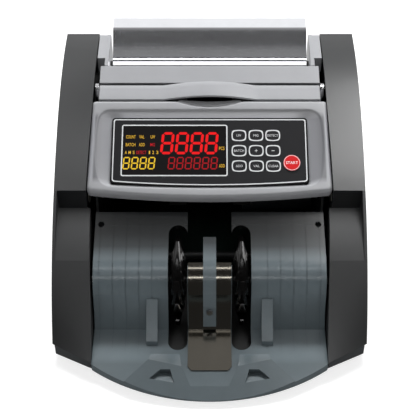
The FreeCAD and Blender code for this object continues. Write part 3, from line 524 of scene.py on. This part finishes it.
words("display_words_red", [("MG", -48.8, 42.1, 3.0, 3.8), ("DETECT", -58.3, 34.9, 3.0, 8.4)], WORD_RED,
      "machine_frame", weight=0.004)

# Printed lines ----------------------------------------------------------------------------------

LABEL_HALF, LABEL_BOTTOM, LABEL_TOP_EDGE, LABEL_BOW = 84.0, 7.0, 67.3, 3.4


def label_corners(grow):
    side = LABEL_HALF + grow
    low, high = LABEL_BOTTOM - grow, LABEL_TOP_EDGE + grow
    return [(-side, low), (side, low), (side, high), (-side, high)]


def label_loop(inset):
    radius = max(0.6, 3.0 - inset * 0.5)
    return bowed_loop(label_corners(-inset), [LABEL_BOW, 0, 0, 0], radius, [40, 12, 30, 12])


def window_loop(inset):
    left, bottom, right, top = WINDOW[0] + inset, WINDOW[1] + inset, WINDOW[2] - inset, WINDOW[3] - inset
    corners = [(left, bottom), (right, bottom), (right, top), (left, top)]
    return bowed_loop(corners, [0, 0, 0, 0], max(0.5, 2.0 - inset), [20, 12, 20, 12])


for name, outer, inner, rise, ink in (
    ("label_border", label_loop(0.02), label_loop(1.3), 0.02, LABEL_BLACK),
    ("label_line", label_loop(1.3), label_loop(2.2), 0.03, SILVER_INK),
    ("window_line", window_loop(-0.2), window_loop(0.85), 0.05, SILVER_INK),
):
    strip(name, outer, inner, LABEL_TOP - 0.02, LABEL_TOP + rise, ink, "machine_frame")

KEY_LEGENDS = {
    "key_uv": ("UV", 4.1), "key_magnetic": ("MG", 4.3), "key_detect": ("DETECT", 9.4),
    "key_batch": ("BATCH", 8.6), "key_plus": ("+", 2.4), "key_minus": ("-", 2.4),
    "key_add": ("ADD", 5.8), "key_value": ("VAL", 5.2), "key_clear": ("CLEAR", 8.4),
}
KEY_HALF_WIDTH, KEY_HALF_HEIGHT, KEY_BOW = 5.65, 4.55, 0.7
TO_PANEL = PANEL.inverted()


def centre_on_panel(node):
    low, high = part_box(node)
    centre = TO_PANEL @ ((low + high) / 2)
    return centre.x / MM, centre.y / MM


def key_loop(u, s, inset):
    """The outline of a key, its four sides bowed out a little."""
    wide, high = KEY_HALF_WIDTH - inset, KEY_HALF_HEIGHT - inset
    corners = [(u - wide, s - high), (u + wide, s - high), (u + wide, s + high), (u - wide, s + high)]
    return bowed_loop(corners, [KEY_BOW] * 4, 1.6, [10] * 4)


for name, (legend, wide) in KEY_LEGENDS.items():
    u, s = centre_on_panel(name)
    outer, inner = key_loop(u, s, 0.0), key_loop(u, s, 0.95)
    strip(name + "_line", outer, inner, -0.07, -0.02, SILVER_INK, name)
    tall = {"+": 2.4, "-": 0.7}.get(legend, 2.1)
    words(name + "_legend", [(legend, u, s, tall, wide)], LEGEND_INK, name, top=-0.05)


def circle_loop(u, s, radius, steps=64):
    turns = [2 * math.pi * i / steps for i in range(steps)]
    return [(u + radius * math.cos(angle), s + radius * math.sin(angle)) for angle in turns]


START_TOP = 0.6
u, s = centre_on_panel("start_button")
strip("start_ring", circle_loop(u, s, 7.05), circle_loop(u, s, 6.35), START_TOP - 0.05, START_TOP + 0.03,
      RING_PINK, "start_button")
words("start_word", [("START", u, s, 2.5, 10.2)], WHITE_INK, "start_button", top=START_TOP)

# Panel housing ----------------------------------------------------------------------------------

SCOOP_HALF = 28.0
SCOOP_DEEP = 5.0
PANEL_LONG = 83.8
PANEL_HALF_FRONT, PANEL_HALF_REAR = 103.8, 101.8
DISH_HALF_FRONT, DISH_HALF_REAR, DISH_BOTTOM, DISH_TOP = 91.5, 94.0, 5.5, 74.2
FLANK_START, FLANK_WIDTH = 70.0, 13.0
LOOP_COUNTS = [48, 20, 72, 20]


def housing_loop(inset, n):
    front, rear, top = PANEL_HALF_FRONT - inset, PANEL_HALF_REAR - inset, PANEL_LONG - inset
    corners = [(-front, inset), (front, inset), (rear, top), (-rear, top)]
    loop = bowed_loop(corners, [6.0, 0, 0, 0], 3.2, LOOP_COUNTS)
    points = []
    for u, s in loop:
        if s > PANEL_LONG / 2 and abs(u) < SCOOP_HALF:
            s -= SCOOP_DEEP * (1 - (u / SCOOP_HALF) ** 2)
        points.append(on_panel(u, s, n))
    return points


def dish_loop(grow, n):
    front, rear = DISH_HALF_FRONT + grow, DISH_HALF_REAR + grow
    bottom, top = DISH_BOTTOM - grow, DISH_TOP + grow
    corners = [(-front, bottom), (front, bottom), (rear, top), (-rear, top)]
    return [on_panel(u, s, n) for u, s in bowed_loop(corners, [2.9, 4.0, 0, 4.0], 9.0 + grow, LOOP_COUNTS)]


def label_edge_loop(grow, side_n, end_n):
    """The rim round the label, at one depth in the middle and another at its left and right."""
    points = []
    for u, s in bowed_loop(label_corners(grow), [LABEL_BOW, 0, 0, 0], 3.0 + grow, LOOP_COUNTS):
        share = min(1.0, max(0.0, (abs(u) - FLANK_START) / FLANK_WIDTH))
        points.append(on_panel(u, s, end_n + (side_n - end_n) * share * share * (3 - 2 * share)))
    return points


def panel_shell():
    """The housing's moulded top: rounded rim, dished surround that falls to the label, and a hollow skirt."""
    skirt, rim = -12.0, 2.8
    loops = [housing_loop(0, skirt), housing_loop(0, -rim)]
    for degrees in (20, 40, 60, 75, 90):
        angle = math.radians(degrees)
        loops.append(housing_loop(rim * (1 - math.cos(angle)), -rim * (1 - math.sin(angle))))
    for grow, n in ((2.2, 0.0), (1.4, -0.08), (0.7, -0.45), (0.0, -0.95), (-0.9, -1.25)):
        loops.append(dish_loop(grow, n))
    loops += [label_edge_loop(0.4, -2.9, -1.5), label_edge_loop(0.4, -4.0, -3.0)]
    loops += [housing_loop(2.5, -5.0), housing_loop(2.5, skirt)]
    verts = [point for loop in loops for point in loop]
    faces = ring_faces(len(loops), len(loops[0]), closed=True)
    made = piece("panel_shell", verts, faces, HOUSING_GREY, "machine_frame")
    made.data.set_sharp_from_angle(angle=math.radians(50))
    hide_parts("control_panel_housing")
    seat = [label_edge_loop(*edge) for edge in ((-0.05, -4.2, -4.2), (-0.05, -1.2, -1.2), (-2.0, -1.2, -1.2))]
    verts, faces = loft_loops(seat)
    piece("label_seat", verts, faces, LABEL_BLACK, "machine_frame")


def sheet_faces(columns, rows):
    """Quads over a grid of points given column by column."""
    faces = []
    for i in range(columns - 1):
        for j in range(rows - 1):
            here, there = i * rows + j, (i + 1) * rows + j
            faces.append((here, there, there + 1, here + 1))
    return faces


def finger_recess():
    """The curved wall behind the scoop in the housing's rear edge, under the flap's arch."""
    verts = []
    columns, rows = 33, 9
    lip, rim_depth = 0.9, 1.4
    for i in range(columns):
        u = -SCOOP_HALF + 2 * SCOOP_HALF * i / (columns - 1)
        hollow = 1 - (u / SCOOP_HALF) ** 2
        edge = PANEL_LONG - SCOOP_DEEP * hollow - lip
        reach = 0.4 + 8.5 * math.sqrt(max(0.0, hollow))
        for j in range(rows):
            angle = math.pi / 2 * j / (rows - 1)
            back, down = reach * math.sin(angle) * 0.9, reach * (1 - math.cos(angle)) * 0.8
            verts.append(on_panel(u, edge + back, -rim_depth - down))
    faces = sheet_faces(columns, rows)
    made = piece("finger_recess", verts, faces, PANEL_GREY, "machine_frame")
    thick = made.modifiers.new("wall", "SOLIDIFY")
    thick.thickness = 0.8 * MM
    thick.offset = 0


panel_shell()
finger_recess()

# Hopper flap ------------------------------------------------------------------------------------


def flap_shell():
    """The hinged flap with its raised grip; the arch's front edge turns down into the finger recess."""
    low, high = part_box("hopper_flap")
    hinge = Vector(JOINTS["hopper_flap_hinge"]["pos_m"])
    slope = math.radians(17.0)
    rear = Vector((0, hinge.y - 0.3 * MM, hinge.z + 3.1 * MM))
    half = high.x / MM
    arch_half, arch_rise, end_drop = 41.0, 5.3, 0.5
    stations = [-half, -half + 0.6] + [-80 + 4 * i for i in range(41)] + [half - 0.6, half]
    rows = [(0.0, -0.9), (0.25, -0.3), (0.9, 0.0), (5.0, 0.0), (9.0, 0.0), (14.0, 0.0), (16.0, -0.15),
            (16.6, -0.7), (16.7, -1.6)]

    def arch(x):
        share = abs(x) / arch_half
        return arch_rise * (1 - share**2) ** 1.15 if share < 1 else 0.0

    def place(x, along, lift):
        forward = along * math.cos(slope) + lift * math.sin(slope)
        down = along * math.sin(slope) - lift * math.cos(slope)
        return Vector((x * MM, rear.y - forward * MM, rear.z - down * MM))

    verts = []
    for x in stations:
        drop = end_drop if abs(x) > half - 0.3 else 0.0
        for along, lift in rows:
            verts.append(place(x, along, lift + arch(x) - drop))
    faces = sheet_faces(len(stations), len(rows))
    made = piece("flap_shell", verts, faces, PANEL_GREY, "hopper_flap")
    thick = made.modifiers.new("wall", "SOLIDIFY")
    thick.thickness = 1.9 * MM
    made.data.update()
    upward = sum(polygon.normal.z for polygon in made.data.polygons) > 0
    thick.offset = -1.0 if upward else 1.0
    bevel(made, 0.35, 50)
    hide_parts("hopper_flap")


flap_shell()

# Stacker wheels ---------------------------------------------------------------------------------


def polar(radius, degrees):
    return Vector((radius * math.cos(math.radians(degrees)), radius * math.sin(math.radians(degrees))))


def through(points, t):
    """A point on the curve through three (radius, degrees) points, with t from 0 to 1."""
    a, b, c = [polar(*point) for point in points]
    return a * (1 - t) * (1 - 2 * t) + b * 4 * t * (1 - t) + c * t * (2 * t - 1)


def finger_section(outer, inner, wide):
    """The eight corners of a finger's section: (x, point in the wheel's plane)."""
    across = (outer - inner).normalized()
    edge = min(0.35, (outer - inner).length * 0.3)
    flat = wide - 0.5
    corners = ((-wide, edge), (-flat, 0), (flat, 0), (wide, edge))
    near = [(x, outer - across * radial) for x, radial in corners]
    far = [(x, inner + across * radial) for x, radial in reversed(corners)]
    return near + far


def stacker_wheel(side):
    """A rubber wheel with twelve curved fingers that narrow to a rounded tip."""
    node = f"{side}_stacker_wheel"
    low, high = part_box(node)
    middle = (low + high) / 2
    axis = Vector(JOINTS["stacker_wheel_spin"]["pos_m"])
    half = (high.x - low.x) / 2 / MM
    fingers, steps, hub_steps = 12, 14, 48
    taper, tip_share = 0.72, 0.8
    outer = ((12.0, 0.0), (27.0, -24.0), (37.9, -72.0))
    inner = ((12.0, -14.0), (25.2, -33.0), (36.8, -73.0))

    def on_wheel(x, flat):
        return Vector((middle.x + x * MM, axis.y + flat.x * MM, axis.z + flat.y * MM))

    verts, faces = [], []

    def append(part):
        base = len(verts)
        verts.extend(part[0])
        faces.extend([tuple(base + i for i in face) for face in part[1]])

    for finger in range(fingers):
        turn = Matrix.Rotation(math.radians(360 / fingers * finger), 2)
        loops = []
        for k in range(steps + 1):
            t = k / steps
            wide = half * (1 - taper * t)
            if k == steps:
                wide *= tip_share
            section = finger_section(through(outer, t), through(inner, t), wide)
            loops.append([on_wheel(x, turn @ flat) for x, flat in section])
        append(loft_loops(loops, capped=True))
    profile = [(3.2, 0), (8.0, 0), (8.4, 0.9), (10.6, 0.9), (11.0, 0), (12.5, 0), (13.0, 0.5)]
    hub = [(radius, -half + inset) for radius, inset in profile]
    hub += [(radius, half - inset) for radius, inset in reversed(profile)]
    loops = []
    for radius, x in hub:
        loops.append([on_wheel(x, polar(radius, 360 * i / hub_steps)) for i in range(hub_steps)])
    append(loft_loops(loops + [loops[0]]))
    made = piece(f"{side}_finger_wheel", verts, faces, WHEEL_BLACK, "stacker_wheel_set")
    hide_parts(node)


stacker_wheel("left")
stacker_wheel("right")

# Softened edges on the carried-over parts ---------------------------------------------------------


def soften(node, width):
    """Rounds a carried-over part's edges and keeps its flat faces evenly shaded."""
    weld = NODES[node].modifiers.new("weld", "WELD")
    weld.merge_threshold = 0.01 * MM
    bevel(NODES[node], width, 35)
    even = NODES[node].modifiers.new("even_shading", "WEIGHTED_NORMAL")
    even.keep_sharp = False


for node, width in {
    "left_side_cover": 0.7, "right_side_cover": 0.7, "hopper_front_cover": 0.5, "left_hopper_wall": 0.5,
    "right_hopper_wall": 0.5, "base_tray": 0.5, "density_knob": 0.4,
}.items():
    soften(node, width)

# Painted shade behind the rear vents ------------------------------------------------------------


def shade_sheet_behind_vents():
    """Painted shade: a dark sheet close behind the rear cover's vents, so that no daylight shows through the
    machine.
    """
    front, rear, half, bottom, top = 138.4, 139.0, 38, 66, 99
    verts = []
    for y in (front, rear):
        for x, z in ((-half, bottom), (half, bottom), (half, top), (-half, top)):
            verts.append(Vector((x * MM, y * MM, z * MM)))
    faces = [(0, 1, 2, 3), (7, 6, 5, 4), (0, 4, 5, 1), (1, 5, 6, 2), (2, 6, 7, 3), (3, 7, 4, 0)]
    piece("vent_shade_sheet", verts, faces, SENSOR, "machine_frame", smooth=False)


shade_sheet_behind_vents()

# Camera, floor and light ------------------------------------------------------------------------

camera_data = bpy.data.cameras.new("camera")
camera_data.lens = 81.0
camera_data.sensor_width = 36.0
camera = bpy.data.objects.new("camera", camera_data)
camera.location = (0.0003, -0.6316, 0.6055)
camera.rotation_euler = (math.radians(50), 0, 0)
bpy.context.scene.collection.objects.link(camera)
bpy.context.scene.camera = camera

FLOOR_HALF, FLOOR_LEVEL = 4, -0.0002
FLOOR_PALE = surface("floor_pale", (0.42, 0.42, 0.42, 1), 0.8, vary=0.01, blotch=3, grain=60, bump=0.02,
                     specular=0.1)
floor_inputs = FLOOR_PALE.node_tree.nodes["Principled BSDF"].inputs
floor_inputs["Emission Color"].default_value = (1, 1, 1, 1)
floor_inputs["Emission Strength"].default_value = 0.72
floor_mesh = bpy.data.meshes.new("floor")
floor_signs = ((-1, -1), (1, -1), (1, 1), (-1, 1))
floor_corners = [(x * FLOOR_HALF, y * FLOOR_HALF, FLOOR_LEVEL) for x, y in floor_signs]
floor_mesh.from_pydata(floor_corners, [], [(0, 1, 2, 3)])
floor_mesh.materials.append(FLOOR_PALE)
floor = bpy.data.objects.new("floor", floor_mesh)
bpy.context.scene.collection.objects.link(floor)
floor.visible_glossy = False


def softbox(name, place, target, width, height, power):
    """A rectangular lamp, in watts, that faces its target."""
    data = bpy.data.lights.new(name, "AREA")
    data.shape = "RECTANGLE"
    data.size = width
    data.size_y = height
    data.energy = power
    lamp = bpy.data.objects.new(name, data)
    lamp.location = place
    lamp.rotation_euler = (Vector(target) - Vector(place)).to_track_quat("-Z", "Y").to_euler()
    bpy.context.scene.collection.objects.link(lamp)
    return lamp


KEY = softbox("back_key", (0.03, 0.93, 1.28), (0.0, -0.1, 0.02), width=1.1, height=0.3, power=43.0)
KEY.visible_glossy = False
FILL = softbox("front_fill", (0.0, -1.0, 1.35), (0.0, -0.05, 0.05), width=0.8, height=0.4, power=4.5)
FILL.visible_glossy = False
softbox("left_softbox", (-1.1, 0.0, 0.35), (0.0, 0.0, 0.05), width=0.5, height=0.9, power=1.3)
softbox("right_softbox", (1.1, 0.0, 0.35), (0.0, 0.0, 0.05), width=0.5, height=0.9, power=1.8)


def card(name, place, target, width, height, radiance):
    """A reflector that only shows in glossy surfaces."""
    power = radiance * math.pi * width * height
    softbox(name, place, target, width, height, power).visible_diffuse = False


def around(y, z, bearing, distance):
    """A point in the middle plane, at this bearing and distance from a point of the machine."""
    angle = math.radians(bearing)
    return (0.0, y + distance * math.cos(angle), z + distance * math.sin(angle))


for name, place, target, width, height, radiance in (
    ("right_card", (0.50, 0.03, 1.25), (0.50, 0.03, 0.0), 0.48, 0.9, 8.6),
    ("left_card", (-0.50, 0.10, 1.25), (-0.50, 0.10, 0.0), 0.48, 1.3, 1.4),
    ("high_card", around(-0.05, 0.1, 119, 1.6), (0, -0.05, 0.06), 1.3, 0.06, 6.5),
    ("low_card", around(-0.05, 0.1, 146, 1.6), (0, -0.05, 0.06), 1.3, 0.05, 10.0),
    ("foot_card", around(0.118, 0.150, 109, 0.5), (0, 0.118, 0.150), 0.36, 0.13, 1.4),
    ("flange_card", around(0.147, 0.178, 60.4, 0.7), (0, 0.147, 0.178), 1.0, 0.1, 0.7),
    ("slope_card", around(0.1305, 0.164, 131.5, 1.0), (0, 0.1305, 0.164), 0.5, 0.04, 0.2),
):
    card(name, place, target, width, height, radiance)


def studio_world():
    """A pale room, white where the camera sees it; reflections find it bright behind and dim in front."""
    made = bpy.data.worlds.new("studio")
    made.use_nodes = True
    tree = made.node_tree
    link = tree.links.new
    backdrop = tree.nodes["Background"]
    backdrop.inputs["Color"].default_value = (1, 1, 1, 1)
    backdrop.inputs["Strength"].default_value = 0.95
    toward = axes(tree, "Generated")
    bearing = reckon(tree, "ARCTAN2", reckon(tree, "ABSOLUTE", toward["Z"]), toward["Y"])
    share = spread(tree, bearing, From_Min=0.0, From_Max=math.pi)
    room = tree.nodes.new("ShaderNodeBackground")
    room.inputs["Strength"].default_value = 1.25
    link(levels_along(tree, share, ROOM_LEVELS), room.inputs["Color"])
    path = tree.nodes.new("ShaderNodeLightPath")
    mix = tree.nodes.new("ShaderNodeMixShader")
    link(path.outputs["Is Camera Ray"], mix.inputs["Fac"])
    link(room.outputs["Background"], mix.inputs[1])
    link(backdrop.outputs["Background"], mix.inputs[2])
    link(mix.outputs["Shader"], tree.nodes["World Output"].inputs["Surface"])
    return made


ROOM_LEVELS = (
    (0.0, 1.0), (0.26, 1.0), (0.30, 0.36), (0.38, 0.34), (0.44, 0.13), (0.62, 0.13), (0.7, 0.05), (1.0, 0.05),
)
bpy.context.scene.world = studio_world()
bpy.context.scene.view_settings.view_transform = "Standard"
